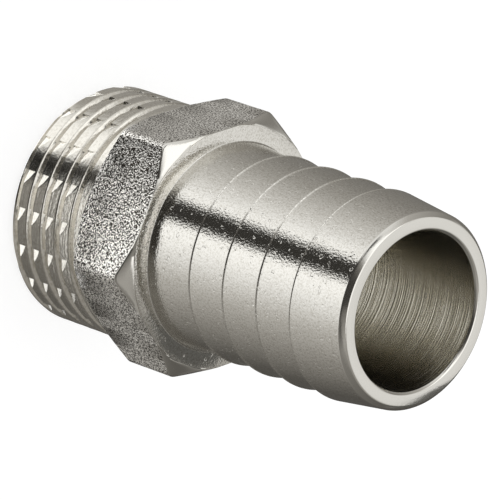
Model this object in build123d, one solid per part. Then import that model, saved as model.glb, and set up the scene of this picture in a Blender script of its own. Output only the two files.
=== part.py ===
from build123d import *

import os
from math import cos, radians, sin, tan

# Hose tail fitting: a hexagon with a male pipe thread on one side and a ridged hose tail on the other.
# The fitting is one piece of brass, forged to shape and then turned. It stands on its threaded end: the
# origin is the middle of that end face and +Z runs up the bore to the mouth of the tail. Two corners of
# the hexagon lie on the X axis.

# ---- driving sizes, mm ----
thread_d = 20.95  # major diameter of a half-inch parallel pipe thread
thread_pitch = 25.4 / 14  # fourteen threads to the inch
thread_length = 9.5  # threaded end up to the hexagon
thread_depth = 0.50  # the crests are cut broad and flat, so the groove is shallow
groove_floor = 0.18  # width of the groove along its floor
flank_angle = 27.5  # half of the fifty-five degree pipe thread
lead_in = 0.9  # 45 degree chamfer at the threaded end
groove_phase = 0.24  # height of the groove's middle where it crosses the +X side
groove_first = -150  # angle, in degrees round from +X, at which the groove comes in below the end face
groove_last = 1650  # angle at which it starts to lift out
groove_fade = 120  # degrees over which it lifts out
groove_turn = 120  # the groove is cut in lengths of this many degrees
groove_stride = 15  # degrees between the points that carry its edges
groove_clear = 0.06  # how far the cutter stands outside the crests
groove_out = 0.02  # how far above the crests the floor ends once it has lifted out

hexagon_af = 21.0  # across flats
hexagon_h = 7.2
hexagon_edge_r = 0.9  # forged radius down the six corners
face_ring_d = 21.26  # turned face inside the chamfer, a little wider than the flats are apart
hexagon_chamfer = 36.0  # degrees below the face

tail_length = 23.1  # hexagon face up to the mouth
neck_d = 18.3
neck_fillet = 0.12  # nose radius of the turning tool
ridge_d = 18.25
valley_d = 17.05
ridge_count = 4
first_ridge = 5.05  # above the hexagon face
ridge_step = 4.1
mouth_d = 16.95
mouth_edge = 0.42  # turned edge round the outside of the mouth
bore_d = 13.7
mouth_chamfer = 0.22  # inside edge of the mouth

notch_rows = 20  # rows of notches round the thread
notch_count = 70
notch_phase = 58.1  # angle of the first notch, degrees
notch_depth = 0.34
notch_ramp = 0.165  # rise of the notch floor per mm along the crest
notch_tilt = 0.36  # rise of the notch floor per mm across the crest
notch_over = 0.28  # how far the notch runs out into the groove
notch_clear = 0.3  # how far the cutter stands outside the crests

# ---- sizes that follow ----
thread_r = thread_d / 2
root_r = thread_r - thread_depth
hexagon_top = thread_length + hexagon_h
total_h = hexagon_top + tail_length
flank = tan(radians(flank_angle))
groove_top = groove_floor + 2 * thread_depth * flank
crest_w = thread_pitch - groove_top


def ridge_profile():
    """Points of the tail's outline from the hexagon face up to the mouth, with its four saw-tooth ridges."""
    points = []
    for n in range(ridge_count):
        z = hexagon_top + first_ridge + n * ridge_step
        points.append((valley_d / 2, z))
        points.append((ridge_d / 2, z))
    points.append((mouth_d / 2, total_h))
    return points


def threaded_blank():
    """The plain turned cylinder that the thread is cut into, with its lead-in at the bottom end."""
    cylinder = Cylinder(thread_r, thread_length, align=(Align.CENTER, Align.CENTER, Align.MIN))
    return chamfer(cylinder.edges().group_by(Axis.Z)[0], lead_in)


def tail():
    """The turned tail standing on the hexagon: a small fillet, the neck and the ridges up to the mouth."""
    base = (neck_d / 2 + neck_fillet, hexagon_top)
    neck_top = (neck_d / 2, hexagon_top + neck_fillet)
    with BuildPart() as turned:
        with BuildSketch(Plane.XZ):
            with BuildLine():
                Polyline((0, hexagon_top), base)
                RadiusArc(base, neck_top, neck_fillet)
                Polyline([neck_top] + ridge_profile() + [(0, total_h), (0, hexagon_top)])
            make_face()
        revolve(axis=Axis.Z)
        chamfer(turned.edges().filter_by(GeomType.CIRCLE).group_by(Axis.Z)[-1], mouth_edge)
    return turned.part


def hexagon():
    """The forged hexagon: rounded corners, both ends turned off to a cone that leaves a flat ring."""
    corner_r = hexagon_af / 2 / cos(radians(30))
    with BuildPart() as hexa:
        with BuildSketch(Plane.XY.offset(thread_length)):
            RegularPolygon(corner_r, 6)
        extrude(amount=hexagon_h)
        fillet(hexa.edges().filter_by(Axis.Z), hexagon_edge_r)
        reach = corner_r - face_ring_d / 2
        drop = reach * tan(radians(hexagon_chamfer))
        with BuildSketch(Plane.XZ):
            with BuildLine():
                Polyline(
                    (0, thread_length),
                    (face_ring_d / 2, thread_length),
                    (corner_r, thread_length + drop),
                    (corner_r, hexagon_top - drop),
                    (face_ring_d / 2, hexagon_top),
                    (0, hexagon_top),
                    close=True,
                )
            make_face()
        revolve(axis=Axis.Z, mode=Mode.INTERSECT)
    return hexa.part


def groove_curve(radii, offsets, angles):
    """A line along the groove: a helix that climbs one pitch a turn, with its own radius at each angle."""
    points = []
    for r, off, a in zip(radii, offsets, angles):
        z = groove_phase + thread_pitch * a / 360 + off
        points.append((r * cos(radians(a)), r * sin(radians(a)), z))
    return Edge.make_spline([Vector(*p) for p in points])


def floor_radius(angle):
    """Radius of the groove's floor: level, then lifting out of the metal over the last third of a turn."""
    t = max(0.0, (angle - groove_last) / groove_fade)
    ease = t * t * (3 - 2 * t)
    return root_r + (thread_depth + groove_out) * ease


def groove_length(start, end):
    """One length of the helical groove, start and end given as angles, as a solid to cut away."""
    steps = round((end - start) / groove_stride)
    angles = [start + n * groove_stride for n in range(steps + 1)]
    floor_r = [floor_radius(a) for a in angles]
    top_r = [thread_r + groove_clear] * len(angles)
    floor_half = [groove_floor / 2] * len(angles)
    top_half = [groove_floor / 2 + (top - r) * flank for top, r in zip(top_r, floor_r)]
    rails = [
        groove_curve(floor_r, [-h for h in floor_half], angles),
        groove_curve(floor_r, floor_half, angles),
        groove_curve(top_r, top_half, angles),
        groove_curve(top_r, [-h for h in top_half], angles),
    ]
    faces = []
    for n, rail in enumerate(rails):
        faces.append(Face.make_surface_from_curves(rail, rails[(n + 1) % len(rails)]))
    for end_at in (0, 1):
        faces.append(Face(Wire.make_polygon([rail @ end_at for rail in rails], close=True)))
    return Solid(Shell(faces))


def notch_cutter(angle):
    """One ratchet notch in a crest: a steep wall, then a floor that rises along and across the crest."""
    low = -crest_w / 2 - notch_over
    high = low + notch_over + notch_depth / notch_tilt
    corners = []
    for across in (low, high):
        depth = notch_depth - notch_tilt * (across + crest_w / 2)
        corners.append((-depth, 0, across))
        corners.append((notch_clear, 0, across))
        corners.append((notch_clear, (notch_clear + depth) / notch_ramp, across))
    height = groove_phase + thread_pitch * (angle / 360 + 0.5)
    points = []
    for out, along, up in corners:
        r = thread_r + out
        a = radians(angle)
        points.append((r * cos(a) - along * sin(a), r * sin(a) + along * cos(a), height + up))
    return ConvexPolyhedron(points)


def threaded_end():
    """The threaded end: notches along the line of the crests, then the helical groove between the crests."""
    cutters = [notch_cutter(notch_phase + n * 360 / notch_rows) for n in range(notch_count)]
    body = threaded_blank() - cutters
    groove_end = groove_last + groove_fade
    start = groove_first
    while start < groove_end:
        end = min(start + groove_turn, groove_end)
        body = body - groove_length(start, end)
        start = end
    return body


def through_bore():
    """The straight bore and the small chamfer at its mouth."""
    mouth_r = bore_d / 2 + mouth_chamfer
    with BuildPart() as bore:
        with BuildSketch(Plane.XZ):
            with BuildLine():
                Polyline(
                    (0, 0),
                    (bore_d / 2, 0),
                    (bore_d / 2, total_h - mouth_chamfer),
                    (mouth_r, total_h),
                    (0, total_h),
                    close=True,
                )
            make_face()
        revolve(axis=Axis.Z)
    return bore.part


os.makedirs("parts", exist_ok=True)
fitting = hexagon() + tail() + threaded_end() - through_bore()
export_step(fitting, "parts/hose_tail_fitting.step")
print("hose_tail_fitting", round(fitting.volume, 1), "mm3", len(fitting.faces()), "faces")
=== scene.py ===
# %% [markdown]
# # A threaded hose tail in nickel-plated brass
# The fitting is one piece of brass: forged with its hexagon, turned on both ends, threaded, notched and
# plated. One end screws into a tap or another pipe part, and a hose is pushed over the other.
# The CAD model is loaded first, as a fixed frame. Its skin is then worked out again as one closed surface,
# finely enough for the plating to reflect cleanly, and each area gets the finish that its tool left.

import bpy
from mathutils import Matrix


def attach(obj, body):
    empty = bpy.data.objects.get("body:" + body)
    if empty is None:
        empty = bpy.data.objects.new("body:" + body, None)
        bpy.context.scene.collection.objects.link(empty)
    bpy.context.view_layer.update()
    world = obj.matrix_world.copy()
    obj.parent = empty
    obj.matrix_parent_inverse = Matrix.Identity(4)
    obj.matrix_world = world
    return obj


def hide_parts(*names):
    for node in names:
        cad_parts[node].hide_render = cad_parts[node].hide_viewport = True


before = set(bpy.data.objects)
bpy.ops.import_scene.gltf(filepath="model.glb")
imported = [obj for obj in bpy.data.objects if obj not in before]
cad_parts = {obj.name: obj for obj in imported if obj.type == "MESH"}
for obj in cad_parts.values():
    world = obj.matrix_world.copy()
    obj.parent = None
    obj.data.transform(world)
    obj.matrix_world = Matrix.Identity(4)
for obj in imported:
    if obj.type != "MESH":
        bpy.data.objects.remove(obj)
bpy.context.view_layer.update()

# %% [markdown]
# ## Main sizes
# The fitting stands on its threaded end, at height nought, with its bore upright. These are the CAD's sizes.
# Everything is in millimetres until the mesh is made in metres. A name that ends in _r is a radius, and one
# that ends in _h a height.

# %% main sizes
import math

import bpy
import numpy as np
from mathutils import Matrix, Vector

mm = 0.001
thread_r = 10.475
thread_h = 9.5
hex_h = 7.2
tail_h = 23.1
bore_r = 6.85
hex_top = thread_h + hex_h
total_h = hex_top + tail_h
print("hexagon from", thread_h, "to", hex_top, "mm, mouth at", round(total_h, 2), "mm")

# %% [markdown]
# ## Columns round the axis
# Every ring of the surface has its points at the same angles, so rings join into strips without gaps. The
# notches stand in rows at even angles, and the columns of a row are given in degrees from its start. They are
# closer together on a notch's floor than past it. A notch's steep wall stands in the narrow gap between the
# last column of one row and the first of the next, which keeps it crisp.

# %% columns
notch_rows = 20
notch_phase = 58.1
row_step = 360 / notch_rows
floor_start = 0.35
floor_end = 9.1
floor_columns = 15
rest_start = 10.3
rest_columns = 8
wall_gap = 0.12
on_floor = np.linspace(floor_start, floor_end, floor_columns)
past_floor = np.linspace(rest_start, row_step - wall_gap, rest_columns)
in_row = np.concatenate([[0.0], on_floor, past_floor])
angles = (notch_phase + row_step * np.arange(notch_rows)[:, None] + in_row[None, :]).ravel()
columns = len(angles)
cos_a = np.cos(np.radians(angles))
sin_a = np.sin(np.radians(angles))
print(columns, "columns,", len(in_row), "to a row of notches")

# %% [markdown]
# ## Softened corners
# A lathe makes everything but the hexagon and the thread, so an outline turned about the axis is the form.
# A real turned corner is never sharp, and each one catches a line of light. A bevel modifier could round
# them, but it would round the thread too, so each corner of the outline becomes a small curve instead.

# %% a corner's curve
most_of_edge = 0.45


def soften(outline, radius, steps=3):
    """Outline with corners rounded: each becomes the curve (1-t)(1-t)A + 2t(1-t)C + ttB from edge to edge."""
    out = [outline[0]]
    for before, corner, after in zip(outline[:-2], outline[1:-1], outline[2:]):
        back = np.subtract(before, corner)
        on = np.subtract(after, corner)
        cut = min(radius, most_of_edge * np.linalg.norm(back), most_of_edge * np.linalg.norm(on))
        a = np.add(corner, back / np.linalg.norm(back) * cut)
        b = np.add(corner, on / np.linalg.norm(on) * cut)
        for t in np.linspace(0, 1, steps + 1):
            out.append(tuple((1 - t) ** 2 * a + 2 * t * (1 - t) * np.array(corner) + t * t * b))
    out.append(outline[-1])
    return out


print("one corner becomes", len(soften([(0, 1), (0, 0), (1, 0)], 0.3)) - 2, "points")

# %% [markdown]
# ## The mouth
# The bore comes up to a small chamfer, then comes the flat rim of the mouth, then a wider chamfer that lets
# the hose start, and the wall below it widens to the top ridge. This end gets the widest softening, because
# its edges must not cut the hose.

# %% mouth outline
mouth_r = 8.475
mouth_in = 0.22
mouth_out = 0.42
mouth_soft = 0.11
under_chamfer = 0.1
ridge_r = 9.125
first_ridge = 5.05
ridge_step = 4.1
ridges = [hex_top + first_ridge + ridge_step * n for n in range(4)]
slack = 0.02
above_ridge = 0.15

bore_end = total_h - mouth_in - under_chamfer
bore_line = [(bore_r, 0.0), (bore_r, bore_end)]
mouth_line = soften(
    [
        (bore_r, bore_end),
        (bore_r, total_h - mouth_in),
        (bore_r + mouth_in, total_h),
        (mouth_r - mouth_out, total_h),
        (mouth_r + slack, total_h - mouth_out),
        (ridge_r - slack, ridges[-1] + above_ridge),
    ],
    mouth_soft,
)
print("ridges at", [round(z, 2) for z in ridges], "mm")

# %% [markdown]
# ## Ridges and neck
# Four saw-tooth ridges let the hose on and hold it back. On top of each the tool leaves a narrow lip, too
# fine for the CAD solid, which shines as a fine line. At the bottom the tool's nose leaves a small fillet
# where the neck meets the hexagon. The outline runs down, from the top ridge to the hexagon, and each tooth
# ends in the valley below it.

# %% tail outline
valley_r = 8.525
ridge_soft = 0.03
lip_up = 0.04
lip_h = 0.07
lip_out = 0.1
slope_h = 0.23
slope_in = 0.12
foot_in = 0.005
tail_line = []
for ridge in reversed(ridges):
    lip_z = ridge + lip_up
    tooth = [
        (ridge_r - slope_in, lip_z + slope_h),
        (ridge_r - lip_out, lip_z + lip_h),
        (ridge_r, lip_z),
        (ridge_r - foot_in, ridge),
        (valley_r, ridge),
    ]
    tail_line += soften(tooth, ridge_soft, 2)

neck_r = 9.15
neck_fillet = 0.12
fillet_rings = 6
neck_line = []
for t in np.linspace(0, math.pi / 2, fillet_rings):
    fillet_r = neck_r + neck_fillet * (1 - math.cos(t))
    neck_line.append((fillet_r, hex_top + neck_fillet * (1 - math.sin(t))))
print(len(mouth_line) + len(tail_line) + len(neck_line), "rings on mouth, tail and neck")

# %% [markdown]
# ## The hexagon
# A spanner holds the fitting by its hexagon, which comes from the forging die. Seen along the axis it is six
# straight flats with rounded corners. One formula gives its distance from the axis at any angle, so it can
# have the same columns as the turned parts.

# %% hexagon outline
hex_af = 21.0
hex_edge_r = 0.9
half_af = hex_af / 2
half_side = math.radians(30)


def hexagon_radius(degrees):
    """Distance from the axis: half the width over cos(angle from the flat's middle), or the corner's arc."""
    off = np.radians(np.abs((degrees % 60) - 30))
    centre = (half_af - hex_edge_r) / math.cos(half_side)
    from_corner = half_side - off
    inside = hex_edge_r**2 - (centre * np.sin(from_corner)) ** 2
    arc = centre * np.cos(from_corner) + np.sqrt(np.maximum(inside, 0))
    flat = half_af / np.cos(off)
    turn = math.atan2((half_af - hex_edge_r) * math.tan(half_side), half_af)
    return np.where(off < turn, flat, arc)


hex_r = hexagon_radius(angles)
print("across corners", round(2 * float(hex_r.max()), 2), "mm")

# %% [markdown]
# ## The hexagon's turned ends
# The lathe has turned both ends to a shallow cone, and where that cone meets a flat it leaves the curved edge
# that every turned nut has. So each ring of the hexagon is the same six-sided line, and its height follows
# the cone. Inside the cone a flat ring is left, with a fine step at its rim where the tool stopped.

# %% hexagon rings
face_r = 10.63
hex_slope = math.tan(math.radians(36))
rim_r = np.minimum(hex_r, face_r)
cone_drop = (hex_r - rim_r) * hex_slope
step = 0.05
step_top = 0.9 * step
step_wall = 0.6 * step
step_soft = 0.2 * step
cone_shares = (0.12, 0.5, 0.88)
edge_soft = 0.08
corner_in = 0.3 * edge_soft
corner_down = 0.25 * edge_soft


def level(height):
    """The same height in every column."""
    return np.full(columns, height)


face_line = [
    (rim_r - step_top, level(hex_top)),
    (rim_r - step_wall, level(hex_top - step_soft)),
    (rim_r - step_wall, level(hex_top - step)),
]
upper_cone = []
for share in cone_shares:
    upper_cone.append((rim_r + (hex_r - rim_r) * share, hex_top - cone_drop * share))
upper_cone.append((hex_r - corner_in, hex_top - cone_drop - corner_down))
side = [
    (hex_r, hex_top - cone_drop - edge_soft),
    (hex_r, level(hex_top - hex_h / 2)),
    (hex_r, thread_h + cone_drop + edge_soft),
]
lower_cone = [(r, thread_h + hex_top - z) for r, z in reversed(upper_cone)]
print("the cone drops", round(float(cone_drop.max()), 2), "mm at the corners")

# %% [markdown]
# ## The thread's lines
# A pipe thread is a helical groove, so its rings can't be level: each line climbs one pitch a turn and joins
# the line one pitch above. That way the edges of the crests run along the mesh and stay crisp. Most of the
# lines lie on the crest, which the notches cross, and few on the groove's floor and flanks. Ten turns of them
# cover the threaded length at every angle.

# %% thread lines
pitch = 25.4 / 14
thread_depth = 0.50
floor_half = 0.09
flank = math.tan(math.radians(27.5))
crest_from = floor_half + thread_depth * flank
crest_w = pitch - 2 * crest_from
groove_phase = 0.24
crest_inset = 0.05
edge_gap = 0.03
mid_flank = 0.21
crest_lines = 11

on_groove = [-floor_half, floor_half, mid_flank, crest_from - edge_gap]
on_crest = np.linspace(crest_from + crest_inset, pitch - crest_from - crest_inset, crest_lines)
past_crest = [pitch - crest_from + edge_gap, pitch - mid_flank]
offsets = np.concatenate([on_groove, on_crest, past_crest])
per_turn = len(offsets)
turns = np.arange(-3, 7)
starts = (groove_phase + pitch * turns[:, None] + offsets[None, :]).ravel()
line_z = starts[:, None] + pitch * angles[None, :] / 360
held_z = np.clip(line_z, 0, thread_h)
print(per_turn, "lines a pitch,", len(starts), "in all")

# %% [markdown]
# ## The groove
# The crests are broad and flat, and the groove's flanks lean 27.5 degrees each side, as on a British standard
# pipe thread. The tool lifts out of the metal before the hexagon, so over the last third of a turn the
# groove's floor rises to the crest. The angle along the groove, in degrees, is counted on from turn to turn.

# %% groove
root_r = thread_r - thread_depth
groove_last = 1650
groove_fade = 120
clear_of_crest = 0.02


def grooved(degrees, z):
    """Distance from the axis: the groove's floor plus (height from its middle) over the flank's slope."""
    rise = (z - groove_phase) / pitch - degrees / 360
    groove = np.round(rise)
    lift = np.clip((degrees + 360 * groove - groove_last) / groove_fade, 0, 1)
    floor = root_r + (thread_depth + clear_of_crest) * lift * lift * (3 - 2 * lift)
    away = np.abs(rise - groove) * pitch
    return np.minimum(thread_r, floor + np.maximum(away - floor_half, 0) / flank)


groove_r = grooved(angles[None, :], held_z)
print("groove's floor", round(float(groove_r.min()), 3), "mm from the axis")

# %% [markdown]
# ## The notches and the chamfered end
# Ratchet notches across the crests hold the sealing tape or hemp when the fitting is screwed in. Each has a
# steep wall and a flat floor that rises along the crest, and also across it, away from the threaded end. They
# are two thirds as deep as the CAD's, so that their floors face the light as the real ones do. The margin
# gives a point right at a row's start to that row, and not to the one before.
# The thread's end is chamfered, so that it starts easily.

# %% notches
notch_count = 70
notch_depth = 0.22
notch_ramp = 0.107
notch_tilt = 0.233
notch_over = 0.28
lead_in = 0.9
row_margin = 1e-6


def notched(degrees, z):
    """Distance from the axis of the notches' floors, each a plane: (radius - depth) over (cos - ramp sin)."""
    crest = np.round((z - groove_phase) / pitch - degrees / 360 - 0.5)
    along = degrees + 360 * crest - notch_phase
    row = np.floor(along / row_step + row_margin)
    turn = np.radians(along - row_step * row)
    middle = groove_phase + pitch * ((notch_phase + row_step * row) / 360 + 0.5)
    across = z - middle + crest_w / 2
    deep = notch_depth - notch_tilt * across
    cut = (thread_r - deep) / (np.cos(turn) - notch_ramp * np.sin(turn))
    here = (row >= 0) & (row < notch_count) & (across > -notch_over) & (deep > 0)
    return np.where(here, cut, thread_r)


line_r = np.minimum(groove_r, notched(angles[None, :], held_z))
line_r = np.minimum(line_r, thread_r - lead_in + held_z)
print("thread", round(float(line_r.min()), 3), "to", round(float(line_r.max()), 3), "mm from the axis")

# %% [markdown]
# ## Rings in order
# The rings are listed in one order: up the bore, over the mouth, down the tail, over the hexagon, down the
# thread and across the end face back to the bore. Each ring says which finish the strip after it has. The
# thread's own lines come later, between the ring at its top and the ring at its bottom.

# %% rings
TURNED, BORE, FACE, FLATS, THREAD = range(5)
areas = [
    (bore_line, BORE),
    (mouth_line[1:-2], FACE),
    (mouth_line[-2:] + tail_line + neck_line, TURNED),
    (face_line + upper_cone, FACE),
    (side, FLATS),
    (lower_cone + [(rim_r - edge_soft, level(thread_h))], FACE),
    ([(thread_r, thread_h)], THREAD),
    ([(thread_r - lead_in, 0.0)], FACE),
]
rings = []
ring_finish = []
for outline, finish in areas:
    for r, z in outline:
        rings.append((np.broadcast_to(r, columns), np.broadcast_to(z, columns)))
        ring_finish.append(finish)
top_ring = len(rings) - 2
bottom_ring = len(rings) - 1
ring_points = np.array([np.stack([r * cos_a, r * sin_a, z], 1) for r, z in rings]).reshape(-1, 3)
line_points = np.stack([line_r * cos_a, line_r * sin_a, held_z], 2).reshape(-1, 3)
print(len(rings), "rings, and", len(line_points), "points on the thread's lines")

# %% [markdown]
# ## Strips between the rings
# Each pair of neighbours becomes a strip of small triangles, and the last ring joins the first, so the skin
# is closed and holds the metal like the real one. Only the thread is left open here.

# %% strips
number = np.arange(len(rings) * columns).reshape(len(rings), columns)
triangles = []
finishes = []
for n in range(len(rings)):
    if n == top_ring:
        continue
    after = number[(n + 1) % len(rings)]
    a, b = number[n], np.roll(number[n], -1)
    d, c = after, np.roll(after, -1)
    triangles += [np.stack([a, b, c], 1), np.stack([a, c, d], 1)]
    finishes.append(np.full(2 * columns, ring_finish[n]))
print(sum(len(part) for part in triangles), "triangles in the strips")

# %% [markdown]
# ## The thread between them
# Neighbouring lines of the thread join in the same way, and after a full turn each line goes on as the line
# one pitch above. A point that would leave the threaded length becomes the point of the end ring instead.

# %% thread strips
near = 0.02
lines = len(ring_points) + np.arange(line_z.size).reshape(line_z.shape)
lines = np.where(line_z > thread_h - near, number[top_ring][None, :], lines)
lines = np.where(line_z < near, number[bottom_ring][None, :], lines)
climbed = np.concatenate([lines[per_turn:, 0], np.full(per_turn, number[top_ring][0])])
wrapped = np.concatenate([lines, climbed[:, None]], 1)
a, b = wrapped[:-1, :-1].ravel(), wrapped[:-1, 1:].ravel()
d, c = wrapped[1:, :-1].ravel(), wrapped[1:, 1:].ravel()
triangles += [np.stack([b, a, d], 1), np.stack([b, d, c], 1)]
finishes.append(np.full(2 * len(a), THREAD))
print(2 * len(a), "triangles in the thread, before those of no size are dropped")

# %% [markdown]
# ## One closed skin
# Where rings touch, as they do in the middle of the flats, their points are merged, and the triangles that
# have shrunk to nothing are dropped. Then every edge lies between exactly two triangles.
# The volume inside is a sixth of the sum of each triangle's first corner times the cross product of the other
# two. It comes out negative when the faces point inwards, and then they are turned round.

# %% skin
points = np.concatenate([ring_points, line_points]) / 1000
triangles = np.concatenate(triangles)
finishes = np.concatenate(finishes)
points, merged = np.unique(np.round(points, 9), axis=0, return_inverse=True)
triangles = merged.ravel()[triangles]
a, b, c = triangles.T
real = (a != b) & (b != c) & (c != a)
finishes = finishes[real]
used, triangles = np.unique(triangles[real], return_inverse=True)
triangles = triangles.reshape(-1, 3)
points = points[used]
p0, p1, p2 = points[triangles[:, 0]], points[triangles[:, 1]], points[triangles[:, 2]]
volume = float(np.einsum("ij,ij->i", p0, np.cross(p1, p2)).sum() / 6)
if volume < 0:
    triangles = triangles[:, ::-1]
print(len(triangles), "triangles around", round(abs(volume) * 1e9, 1), "cubic mm")

# %% [markdown]
# ## The mesh
# The arrays go into a Blender mesh whole, in metres. Every face is shaded smooth, and each has the number of
# its finish, which is the order in which the materials are added further on.

# %% mesh
mesh = bpy.data.meshes.new("hose_tail_fitting_skin")
mesh.from_pydata(points.tolist(), [], triangles.tolist())
mesh.polygons.foreach_set("material_index", finishes.astype(np.int32))
mesh.shade_smooth()
print(len(mesh.vertices), "points in the mesh")

# %% [markdown]
# ## Crisp edges
# Smooth shading would blur the real edges, so those are marked to stay crisp. An edge is crisp where its two
# faces meet at more than a limit, in degrees: a small one on the thread, whose facets are flat, and a wide
# one elsewhere, where the rounded corners should flow.

# %% crisp edges
thread_limit = 11.0
other_limit = 38.0
tiny = 1e-30


def edge_keys(ends):
    """One number for each pair of point numbers, the same for either order: low * count + high."""
    return ends.min(1).astype(np.int64) * len(points) + ends.max(1)


def crisp_flags():
    """For each edge of the mesh, whether the angle between its two faces' normals is over their limit."""
    corners = points[triangles]
    normals = np.cross(corners[:, 1] - corners[:, 0], corners[:, 2] - corners[:, 0])
    normals /= np.linalg.norm(normals, axis=1, keepdims=True) + tiny
    sides = np.concatenate([triangles[:, [0, 1]], triangles[:, [1, 2]], triangles[:, [2, 0]]])
    face = np.tile(np.arange(len(triangles)), 3)
    keys = edge_keys(sides)
    order = np.argsort(keys, kind="stable")
    first, second = face[order[0::2]], face[order[1::2]]
    turn = np.degrees(np.arccos(np.clip((normals[first] * normals[second]).sum(1), -1, 1)))
    both_thread = (finishes[first] == THREAD) & (finishes[second] == THREAD)
    crisp = turn > np.where(both_thread, thread_limit, other_limit)
    ends = np.empty(2 * len(mesh.edges), np.int32)
    mesh.edges.foreach_get("vertices", ends)
    return crisp[np.searchsorted(keys[order[0::2]], edge_keys(ends.reshape(-1, 2)))]


flags = crisp_flags()
sharp = mesh.attributes.new("sharp_edge", "BOOLEAN", "EDGE")
sharp.data.foreach_set("value", flags)
print(int(flags.sum()), "crisp edges of", len(flags))

# %% [markdown]
# ## The piece
# The skin stands in for the CAD solid, which stays for collisions. A Weighted Normal modifier lets the large
# faces decide the shading, so that the flats stay flat beside their small rounded corners.

# %% piece
fitting = bpy.data.objects.new("hose_tail_fitting_skin", mesh)
bpy.context.scene.collection.objects.link(fitting)
weighted = fitting.modifiers.new("even normals", "WEIGHTED_NORMAL")
weighted.keep_sharp = True
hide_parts("hose_tail_fitting")
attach(fitting, "root")
print("the piece is", fitting.name)

# %% [markdown]
# ## Nickel
# All of the fitting is bright nickel, a slightly warm white metal, over brass. What differs is the surface
# under the plating, so every finish starts from the same metal, with its own colour and roughness.
# One function turns a written colour into the linear values that light adds up in, and one adds a node with
# its settings and links. A colour Mix node has several sockets of one name, so they are given by number.

# %% nickel
MIX_SHARE, MIX_FIRST, MIX_SECOND, MIX_RESULT = 0, 6, 7, 2


def linear(code):
    """An sRGB hex colour as linear red, green, blue and alpha: each value v is ((v+0.055)/1.055)^2.4."""
    values = [int(code[i : i + 2], 16) / 255 for i in (1, 3, 5)]
    return tuple(v / 12.92 if v <= 0.04045 else ((v + 0.055) / 1.055) ** 2.4 for v in values) + (1.0,)


def add(tree, kind, inputs=None, **settings):
    """Adds a node, sets its settings, and links or fills its inputs."""
    made = tree.nodes.new(kind)
    for name, value in settings.items():
        setattr(made, name, value)
    for name, value in (inputs or {}).items():
        if isinstance(value, bpy.types.NodeSocket):
            tree.links.new(value, made.inputs[name])
        else:
            made.inputs[name].default_value = value
    return made


def nickel(name, colour, roughness):
    """A new metal finish, next in the mesh's list: metallic 1, with the metal's colour and roughness."""
    material = bpy.data.materials.new(name)
    material.use_nodes = True
    tree = material.node_tree
    shader = tree.nodes["Principled BSDF"]
    shader.inputs["Base Color"].default_value = linear(colour)
    shader.inputs["Metallic"].default_value = 1.0
    shader.inputs["Roughness"].default_value = roughness
    mesh.materials.append(material)
    print("finish", len(mesh.materials) - 1, "is", name)
    return tree, shader


print("nickel in linear light:", [round(v, 3) for v in linear("#e2e0db")])

# %% [markdown]
# ## Turned metal
# A lathe tool leaves fine rings as it feeds along, and the brass has small pits. Both give the eye the soft,
# slightly ragged reflections of plated turned parts. The rings are too fine for the mesh, so a bump is made
# of noise that changes slowly round the axis and quickly along the tool's feed.
# The feed is the height on a wall and the radius on a face, so their sum serves for both. The radius counts
# for more in it, because faces are cut with a finer feed.

# %% turned relief
radius_weight = 2.2


def lathe_places(tree, round_scale, feed_scale):
    """The plain place, and the lathe's: (x, y) * round scale and (weight * radius + z) * feed scale."""
    place = add(tree, "ShaderNodeTexCoord").outputs["Object"]
    xyz = add(tree, "ShaderNodeSeparateXYZ", {0: place})
    x, y, z = xyz.outputs["X"], xyz.outputs["Y"], xyz.outputs["Z"]
    flat = add(tree, "ShaderNodeCombineXYZ", {"X": x, "Y": y})
    radius = add(tree, "ShaderNodeVectorMath", {0: flat.outputs[0]}, operation="LENGTH")
    terms = {0: radius.outputs["Value"], 1: radius_weight, 2: z}
    feed = add(tree, "ShaderNodeMath", terms, operation="MULTIPLY_ADD")
    joined = add(tree, "ShaderNodeCombineXYZ", {"X": x, "Y": y, "Z": feed.outputs[0]})
    factors = {0: joined.outputs[0], 1: (round_scale, round_scale, feed_scale)}
    scaled = add(tree, "ShaderNodeVectorMath", factors, operation="MULTIPLY")
    return place, scaled.outputs[0]


def turned_nickel(name, colour, roughness, pit_size, pit_depth, ring_size, ring_depth, round_scale=300):
    """Nickel over a turned surface: small pits, and over them the tool's rings. Sizes are in metres."""
    tree, shader = nickel(name, colour, roughness)
    place, lathe = lathe_places(tree, round_scale, 1 / ring_size)
    pits = add(tree, "ShaderNodeTexNoise", {"Vector": place, "Scale": 1 / pit_size, "Detail": 2.0})
    tool = add(tree, "ShaderNodeTexNoise", {"Vector": lathe, "Scale": 1.0, "Detail": 3.0})
    pressed = {"Height": pits.outputs["Fac"], "Strength": 1.0, "Distance": pit_depth}
    pitted = add(tree, "ShaderNodeBump", pressed).outputs["Normal"]
    cut = {"Height": tool.outputs["Fac"], "Strength": 1.0, "Distance": ring_depth, "Normal": pitted}
    relief = add(tree, "ShaderNodeBump", cut).outputs["Normal"]
    tree.links.new(relief, shader.inputs["Normal"])
    return tree, shader, place


print("on a face the rings are", radius_weight, "times as close as on a wall")

# %% [markdown]
# ## The tail's finish
# Nickel over finely turned brass: low in roughness, so that it mirrors the studio with a slightly frayed
# edge. Real pits and rings are about a tenth of a millimetre apart, too fine to show, so they are drawn about
# twice as coarse. A thin darker film lies wherever a noise is low, which gives the eye an uneven grey. A few
# shallow nicks, as parts get in a bin, are pressed in over the rings wherever a coarser noise is high.
# The same finish covers the flat ring on top of the hexagon, where the tail's tool runs out.

# %% finish of the tail


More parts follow.
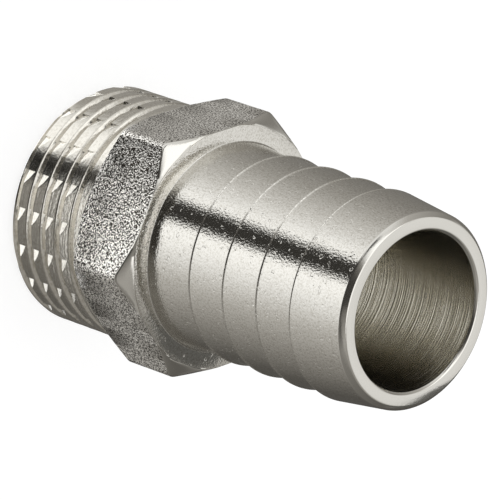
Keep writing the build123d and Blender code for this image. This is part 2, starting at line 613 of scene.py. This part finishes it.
def tarnish(tree, shader, place, colour, size, low, high):
    """Mixes in a darker film: all film where a noise is under low, all metal where it is over high."""
    film = add(tree, "ShaderNodeTexNoise", {"Vector": place, "Scale": 1 / size, "Detail": 2.0})
    limits = {"Value": film.outputs["Fac"], "From Min": low, "From Max": high}
    share = add(tree, "ShaderNodeMapRange", limits).outputs[0]
    bright = tuple(shader.inputs["Base Color"].default_value)
    colours = {MIX_SHARE: share, MIX_FIRST: linear(colour), MIX_SECOND: bright}
    mixed = add(tree, "ShaderNodeMix", colours, data_type="RGBA").outputs[MIX_RESULT]
    tree.links.new(mixed, shader.inputs["Base Color"])


tree, shader, place = turned_nickel(
    "nickel_on_turned_brass",
    "#e2e0db",
    roughness=0.10,
    pit_size=0.17 * mm,
    pit_depth=0.017 * mm,
    ring_size=0.25 * mm,
    ring_depth=0.002 * mm,
)
tarnish(tree, shader, place, "#cac7c0", size=0.16 * mm, low=0.30, high=0.56)

nick_size = 0.5 * mm
nick_depth = 0.012 * mm
nick_edge = 0.66
nick_bottom = 0.70
spots = add(tree, "ShaderNodeTexNoise", {"Vector": place, "Scale": 1 / nick_size, "Detail": 1.0})
limits = {"Value": spots.outputs["Fac"], "From Min": nick_bottom, "From Max": nick_edge}
nicks = add(tree, "ShaderNodeMapRange", limits).outputs[0]
under = shader.inputs["Normal"].links[0].from_socket
pressed = {"Height": nicks, "Strength": 1.0, "Distance": nick_depth, "Normal": under}
nicked = add(tree, "ShaderNodeBump", pressed).outputs["Normal"]
tree.links.new(nicked, shader.inputs["Normal"])
print(len(tree.nodes), "nodes in the tail's finish")

# %% [markdown]
# ## The bore's finish
# Less nickel reaches the wall of a deep hole, so the metal there is duller and browner. The drill's rings lie
# close together. They are drawn far deeper than the real ones and in long stretches round the axis, which
# gives the eye the light and dark grooves inside.

# %% finish of the bore
turned_nickel(
    "nickel_in_drilled_bore",
    "#bfbbaf",
    roughness=0.2,
    pit_size=0.3 * mm,
    pit_depth=0.01 * mm,
    ring_size=0.16 * mm,
    ring_depth=0.13 * mm,
    round_scale=40,
)

# %% [markdown]
# ## The faces' finish
# The mouth's rim and chamfers, the hexagon's cones and lower end, and the threaded end had a light last cut.
# They are nearly smooth, and each gives the eye one even tone.

# %% finish of the faces
turned_nickel(
    "nickel_on_faced_brass",
    "#dfddd8",
    roughness=0.13,
    pit_size=0.22 * mm,
    pit_depth=0.003 * mm,
    ring_size=0.25 * mm,
    ring_depth=0.003 * mm,
)

# %% [markdown]
# ## The flats' finish
# The forging was blasted with grit before plating, and the flats were left so. The dents are drawn 0.15 mm
# wide, about two dots of the picture, because finer ones would melt into grey. Their sides mirror different
# parts of the studio, and the bottom of each dent is painted dark, as a dark film and as painted shade, which
# gives the eye the salt-and-pepper speckle.

# %% finish of the flats
grit_size = 0.15 * mm
dent_depth = 0.038 * mm
dent_bottom = 0.44
dent_edge = 0.52
tree, shader = nickel("nickel_on_blasted_forging", "#f0eee9", roughness=0.14)
place = add(tree, "ShaderNodeTexCoord").outputs["Object"]
grain = {"Vector": place, "Scale": 1 / grit_size, "Detail": 1.0, "Roughness": 0.5}
grit = add(tree, "ShaderNodeTexNoise", grain).outputs["Fac"]
dents = {"Height": grit, "Strength": 1.0, "Distance": dent_depth}
dented = add(tree, "ShaderNodeBump", dents).outputs["Normal"]
tree.links.new(dented, shader.inputs["Normal"])

# Painted shade: where the grit noise is low, at the bottom of each dent, the colour goes dark, for a dark
# film and for the shade in the dent.
limits = {"Value": grit, "From Min": dent_bottom, "From Max": dent_edge}
above = add(tree, "ShaderNodeMapRange", limits).outputs[0]
colours = {MIX_SHARE: above, MIX_FIRST: linear("#504c45"), MIX_SECOND: linear("#f6f4f0")}
dent_film_and_shade = add(tree, "ShaderNodeMix", colours, data_type="RGBA").outputs[MIX_RESULT]
tree.links.new(dent_film_and_shade, shader.inputs["Base Color"])
print("dents", round(grit_size / mm, 2), "mm wide")

# %% [markdown]
# ## The thread's finish
# A threading die cuts more coarsely than a turning tool, so the rings are deeper than on the tail and the
# metal is a little duller. It gives the eye softer lights on the crests than on the ridges.

# %% finish of the thread
tree, shader, place = turned_nickel(
    "nickel_on_cut_thread",
    "#dddad3",
    roughness=0.16,
    pit_size=0.3 * mm,
    pit_depth=0.012 * mm,
    ring_size=0.3 * mm,
    ring_depth=0.012 * mm,
)
tarnish(tree, shader, place, "#d2cec6", size=0.30 * mm, low=0.34, high=0.54)

# %% [markdown]
# ## Camera
# It stands well back with a long lens, as for a catalogue picture, and looks down at the fitting. Three
# angles in degrees set it: the azimuth and elevation where it stands, and a roll about its line of sight that
# lays the standing fitting across the picture. The distance, and the aim, which is the point at the middle of
# the picture, are in millimetres. The lens is given as a number of sensor widths.

# %% camera
camera_azimuth = 151.9
camera_elevation = 44.35
camera_roll = 109.02
camera_distance = 568.8
aim = Vector((-0.12, 0.48, 19.60))
sensor_width = 36.0
lens_in_widths = 13.4776

turn = math.radians(camera_azimuth)
rise = math.radians(camera_elevation)
back = Vector((math.cos(rise) * math.cos(turn), math.cos(rise) * math.sin(turn), math.sin(rise)))
level_right = Vector((-math.sin(turn), math.cos(turn), 0))
right = Matrix.Rotation(math.radians(camera_roll), 3, back) @ level_right
up = back.cross(right)

camera = bpy.data.objects.new("camera", bpy.data.cameras.new("camera"))
bpy.context.scene.collection.objects.link(camera)
bpy.context.scene.camera = camera
camera.data.sensor_width = sensor_width
camera.data.lens = sensor_width * lens_in_widths
camera.data.clip_start = 0.05
camera.data.clip_end = 20.0
stand = Matrix((right, up, back)).transposed().to_4x4()
stand.translation = (aim + back * camera_distance) * mm
camera.matrix_world = stand
print("camera at, m:", [round(v, 3) for v in stand.translation])

# %% [markdown]
# ## Light in bands
# Bright metal shows its surroundings, so they are the lighting. Lamps would only make small bright spots on
# it, so the studio is built of bands of light, like pale card, round the fitting. Each band has its own
# levels by the angle from the camera's side, and the bands lie above one another in the sky, or outside one
# another on the table. The darker a level is, the warmer it is.

# %% bands of light
warmth = 0.14


def angle_round(tree, place):
    """The angle round the axis from the camera's side, atan2(y, x) of the turned place, as nought to one."""
    swing = {"Vector": place, "Angle": -math.radians(camera_azimuth)}
    turned = add(tree, "ShaderNodeVectorRotate", swing, rotation_type="Z_AXIS")
    parts = add(tree, "ShaderNodeSeparateXYZ", {0: turned.outputs[0]})
    y_and_x = {0: parts.outputs["Y"], 1: parts.outputs["X"]}
    angle = add(tree, "ShaderNodeMath", y_and_x, operation="ARCTAN2").outputs[0]
    whole_turn = {"Value": angle, "From Min": -math.pi, "From Max": math.pi}
    return add(tree, "ShaderNodeMapRange", whole_turn).outputs[0]


def band(tree, under, angle, stops, measure, start, end):
    """Lays a band over the light under it, faded in as the measure goes from start to end.

    The stops are pairs of degrees from the camera's side and a level, with straight lines between them. The
    colour is the level times (1, 1 - 0.4 w, 0.985 - w), with w the warmth times (1 - level), or nought.
    """
    levels = add(tree, "ShaderNodeValToRGB", {"Fac": angle})
    elements = levels.color_ramp.elements
    while len(elements) < len(stops):
        elements.new(0.5)
    for element, (degrees, bright) in zip(elements, stops):
        warm = warmth * max(0, 1 - bright)
        element.position = (degrees + 180) / 360
        element.color = (bright, bright * (1 - 0.4 * warm), bright * (0.985 - warm), 1)
    fade = {"Value": measure, "From Min": start, "From Max": end}
    share = add(tree, "ShaderNodeMapRange", fade).outputs[0]
    colours = {MIX_SHARE: share, MIX_FIRST: under, MIX_SECOND: levels.outputs["Color"]}
    return add(tree, "ShaderNodeMix", colours, data_type="RGBA").outputs[MIX_RESULT]


print("angles are counted from azimuth", camera_azimuth, "degrees")

# %% [markdown]
# ## The levels of the sky
# A direction's height is the sine of its angle above the floor. The faces that look up mirror the high band,
# so its levels set the tone of the mouth's rim and the hexagon's flat ring. The low and the middle band show
# in coned and rounded edges, such as the ridges' lips and the mouth's chamfers. Each band is bright on some
# sides and dark on others, because without something dark to mirror, metal looks like plaster.

# %% sky levels
low_sky = [
    (-180, 0.85), (-160, 0.85), (-140, 0.25), (-100, 0.5), (-80, 0.9), (-45, 1.0), (-36, 0.7), (-28, 0.05),
    (22, 0.05), (34, 0.17), (70, 0.25), (100, 0.2), (138, 0.12), (165, 0.5), (174, 0.85), (180, 0.85),
]
mid_sky = [
    (-180, 0.85), (-160, 0.85), (-100, 0.6), (-70, 0.9), (-62, 0.04), (45, 0.04), (70, 0.3), (100, 0.25),
    (165, 0.5), (174, 0.85), (180, 0.85),
]
high_sky = [
    (-180, 0.90), (-135, 0.90), (-120, 0.7), (-105, 1.45), (-60, 1.45), (-43, 0.95), (-32, 0.25),
    (-20, 0.10), (-10, 0.05), (18, 0.05), (30, 0.2), (50, 0.33), (66, 0.45), (100, 0.36), (140, 0.3),
    (165, 0.6), (174, 0.9), (180, 0.90),
]
below_all = (-2.0, -1.9)
sky_bands = [(low_sky, *below_all), (mid_sky, 0.53, 0.57), (high_sky, 0.64, 0.68)]
zenith_colour = (1.3, 1.29, 1.27, 1)
zenith_start = 0.93
zenith_end = 0.95
print("the sky's bands have", [len(stops) for stops, start, end in sky_bands], "stops")

# %% [markdown]
# ## The sky
# The low band starts below every direction, so it is left wherever no other covers it. A bright patch at the
# zenith, the same all round, shows in parts of the thread's upper flanks. Only reflections see any of this:
# the camera sees plain white, and matte things get an even pale light.

# %% sky
world = bpy.data.worlds.new("studio")
bpy.context.scene.world = world
world.use_nodes = True
tree = world.node_tree
tree.nodes.clear()
direction = add(tree, "ShaderNodeTexCoord").outputs["Generated"]
height = add(tree, "ShaderNodeSeparateXYZ", {0: direction}).outputs["Z"]
angle = angle_round(tree, direction)
mirrored = (0, 0, 0, 1)
for stops, start, end in sky_bands:
    mirrored = band(tree, mirrored, angle, stops, height, start, end)
fade = {"Value": height, "From Min": zenith_start, "From Max": zenith_end}
at_zenith = add(tree, "ShaderNodeMapRange", fade).outputs[0]
colours = {MIX_SHARE: at_zenith, MIX_FIRST: mirrored, MIX_SECOND: zenith_colour}
mirrored = add(tree, "ShaderNodeMix", colours, data_type="RGBA").outputs[MIX_RESULT]

even = (0.9, 0.9, 0.9, 1)
white = (1, 1, 1, 1)
rays = add(tree, "ShaderNodeLightPath")
colours = {MIX_SHARE: rays.outputs["Is Glossy Ray"], MIX_FIRST: even, MIX_SECOND: mirrored}
lit = add(tree, "ShaderNodeMix", colours, data_type="RGBA").outputs[MIX_RESULT]
colours = {MIX_SHARE: rays.outputs["Is Camera Ray"], MIX_FIRST: lit, MIX_SECOND: white}
seen = add(tree, "ShaderNodeMix", colours, data_type="RGBA").outputs[MIX_RESULT]
background = add(tree, "ShaderNodeBackground", {"Color": seen, "Strength": 1.0})
add(tree, "ShaderNodeOutputWorld", {"Surface": background.outputs[0]})
print(len(tree.nodes), "nodes in the sky")

# %% [markdown]
# ## Cards
# A studio has flat cards that light or darken a reflection. They are stage things, not part of the fitting.
# A card that only bright metal should show is kept out of the camera's view and of the soft light.

# %% cards


def card(name, half, centre, tilt=(0, 0, 0)):
    """A square card of half-width half at a centre, flat and then tilted by degrees about X, Y and Z."""
    made = bpy.data.meshes.new(name)
    corners = [(-half, -half, 0), (half, -half, 0), (half, half, 0), (-half, half, 0)]
    made.from_pydata(corners, [], [(0, 1, 2, 3)])
    placed = bpy.data.objects.new(name, made)
    placed.location = centre
    placed.rotation_euler = [math.radians(a) for a in tilt]
    bpy.context.scene.collection.objects.link(placed)
    print("card", name, "is", 2 * half, "m wide")
    return placed


def glow_in_reflections(placed, name):
    """Hides a card from all but reflections, and gives it a glowing material: its tree and emission node."""
    placed.visible_camera = False
    placed.visible_diffuse = False
    placed.visible_shadow = False
    placed.visible_transmission = False
    material = bpy.data.materials.new(name)
    material.use_nodes = True
    placed.data.materials.append(material)
    tree = material.node_tree
    tree.nodes.clear()
    glow = add(tree, "ShaderNodeEmission")
    add(tree, "ShaderNodeOutputMaterial", {"Surface": glow.outputs[0]})
    return tree, glow


# %% [markdown]
# ## The light table
# Below the floor lies a wide glowing table that only reflections see. The camera looks down, so each upright
# part of the fitting mirrors a ring of it: the notches' floors the bright middle, the thread's crests the
# ring round that, the hexagon's flats mostly the next, and the tail all that lies beyond. The narrow black
# gap in the tail's ring draws the dark line along the tail. The distances are in metres.

# %% light table
thread_ring = [
    (-180, 0.28), (-120, 0.34), (-76, 0.42), (-54, 1.25), (-40, 1.35), (-28, 1.1), (-23, 0.01), (-3, 0.01),
    (3, 0.26), (20, 0.235), (60, 0.18), (100, 0.13), (180, 0.12),
]
hexagon_ring = [
    (-180, 0.42), (-125, 0.60), (-95, 0.70), (-75, 1.1), (-55, 1.4), (-31, 1.4), (-27, 0.1), (-14, 0.1),
    (-8, 1.15), (6, 1.5), (35, 1.35), (45, 1.15), (60, 1.1), (75, 0.68), (100, 0.6), (130, 0.42), (180, 0.24),
]
tail_ring = [
    (-180, 0.12), (-150, 0.20), (-120, 0.27), (-90, 0.42), (-60, 0.73), (-40, 1.08), (-29, 1.3),
    (-27, 0.04), (-7, 0.04), (-5, 1.3), (10, 1.22), (28, 0.94), (37, 0.77), (50, 0.57), (74, 0.37),
    (92, 0.26), (111, 0.17), (130, 0.10), (180, 0.08),
]
table_bands = [
    (thread_ring, 0.020, 0.024),
    (hexagon_ring, 0.0375, 0.0395),
    (tail_ring, 0.0465, 0.0490),
]
table_depth = 0.020
table = card("light_table", 1.5, (0, 0, -table_depth))
tree, glow = glow_in_reflections(table, "table_light")
spot = add(tree, "ShaderNodeTexCoord").outputs["Object"]
angle = angle_round(tree, spot)
distance = add(tree, "ShaderNodeVectorMath", {0: spot}, operation="LENGTH").outputs["Value"]
shown = (1.5, 1.5, 1.48, 1)
for stops, start, end in table_bands:
    shown = band(tree, shown, angle, stops, distance, start, end)
tree.links.new(shown, glow.inputs["Color"])
print(len(table_bands), "rings round the middle of the table")

# %% [markdown]
# ## The black card
# A small dark card stands behind the fitting, and darkens the part of the hexagon's face that is lowest in
# the picture. Its place is given with the camera on the X side, and then turned round the axis with it.

# %% black card
card_place = Vector((-0.027, 0.0175, 0.045))
card_half = 0.012
card_lean = -45.5
turned_place = Matrix.Rotation(math.radians(camera_azimuth), 3, "Z") @ card_place
black = card("black_card", card_half, turned_place, (0, card_lean, camera_azimuth))
tree, glow = glow_in_reflections(black, "black_paper")
glow.inputs["Color"].default_value = (0.12, 0.118, 0.11, 1)
print("black card at, m:", [round(v, 4) for v in turned_place])

# %% [markdown]
# ## Floor
# A plain white sheet that keeps a soft shadow: a matte grey takes the shadow, and a glow of its own lifts it
# to white. Reflections pass through it to the surroundings, so that it doesn't hide them. It lies a fiftieth
# of a millimetre under the fitting, so that the two never share a plane.

# %% floor
paper_grey = (0.35, 0.35, 0.35, 1)
own_light = 0.75
floor = card("floor", 3.0, (0, 0, -0.00002))
paper = bpy.data.materials.new("white_paper")
paper.use_nodes = True
floor.data.materials.append(paper)
tree = paper.node_tree
tree.nodes.clear()
rays = add(tree, "ShaderNodeLightPath")
matte = add(tree, "ShaderNodeBsdfDiffuse", {"Color": paper_grey})
glow = add(tree, "ShaderNodeEmission", {"Color": white, "Strength": own_light})
lit = add(tree, "ShaderNodeAddShader", {0: matte.outputs[0], 1: glow.outputs[0]})
clear = add(tree, "ShaderNodeBsdfTransparent")
either = {0: rays.outputs["Is Glossy Ray"], 1: lit.outputs[0], 2: clear.outputs[0]}
sheet = add(tree, "ShaderNodeMixShader", either)
add(tree, "ShaderNodeOutputMaterial", {"Surface": sheet.outputs[0]})

# %% [markdown]
# ## Last settings
# Colours are shown as they are, with no film look over them. The skin has to stay inside the solid's
# box.

# %% settings
bpy.context.scene.view_settings.view_transform = "Standard"
